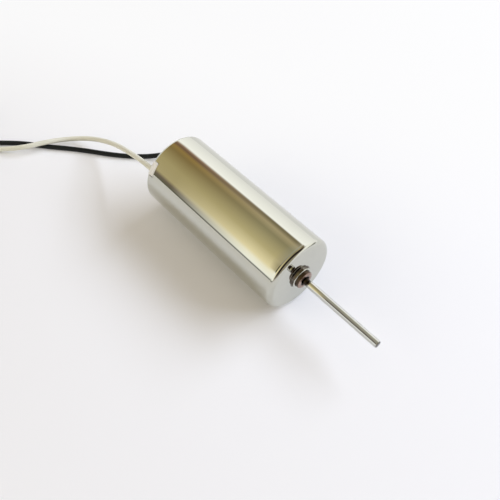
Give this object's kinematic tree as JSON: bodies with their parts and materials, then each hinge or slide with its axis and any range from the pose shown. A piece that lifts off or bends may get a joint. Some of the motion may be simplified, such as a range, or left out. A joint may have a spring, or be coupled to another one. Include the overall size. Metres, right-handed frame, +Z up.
{
  "type": "coreless dc motor",
  "caption": "Small cylindrical coreless DC motor: bright drawn can, long thin output shaft in a bronze bush, and thin insulated leads leaving the moulded rear cap.",
  "frame": {"origin": "centre of the can's front face, on the shaft axis", "axes": "+X out along the shaft, +Z up with the motor lying on its side on the surface that its leads lie on"},
  "size_m": [0.0638, 0.0266, 0.0085],
  "materials": {
    "nickel_plate": "bright nickel plating on drawn steel",
    "sintered_bronze": "oil-filled sintered bronze",
    "plated_magnet": "nickel-plated rare-earth magnet",
    "shaft_steel": "ground hardened steel",
    "washer_plastic": "dark low-friction plastic",
    "enamelled_copper": "enamelled copper wire bonded with resin",
    "hub_resin": "moulded brown resin",
    "commutator_alloy": "gold-coloured precious-metal alloy",
    "white_moulding": "moulded white nylon",
    "brush_alloy": "spring leaf of precious-metal alloy",
    "terminal_brass": "stamped brass strip",
    "solder": "bright solder",
    "tinned_copper": "tinned copper strands",
    "white_insulation": "off-white wire insulation with a soft sheen",
    "black_insulation": "black wire insulation with a soft sheen"
  },
  "bodies": {
    "stator": {"can": "nickel_plate", "front_bearing": "sintered_bronze", "rear_bearing": "sintered_bronze", "magnet": "plated_magnet", "end_cap": "white_moulding", "white_terminal": "terminal_brass", "white_brush": "brush_alloy", "white_solder": "solder", "white_lead_core": "tinned_copper", "white_lead": "white_insulation", "white_lead_coil": "white_insulation", "white_lead_tip": "tinned_copper", "black_terminal": "terminal_brass", "black_brush": "brush_alloy", "black_solder": "solder", "black_lead_core": "tinned_copper", "black_lead": "black_insulation", "black_lead_coil": "black_insulation", "black_lead_tip": "tinned_copper"},
    "rotor": {"shaft": "shaft_steel", "thrust_washer": "washer_plastic", "coil": "enamelled_copper", "coil_hub": "hub_resin", "commutator_segment_1": "commutator_alloy", "commutator_segment_2": "commutator_alloy", "commutator_segment_3": "commutator_alloy", "coil_tap_1": "enamelled_copper", "coil_tap_2": "enamelled_copper", "coil_tap_3": "enamelled_copper"}
  },
  "joints": [
    {"name": "rotor_spin", "type": "hinge", "parent": "stator", "child": "rotor", "pos_m": [0, 0, 0], "axis": [1, 0, 0], "continuous": true}
  ]
}
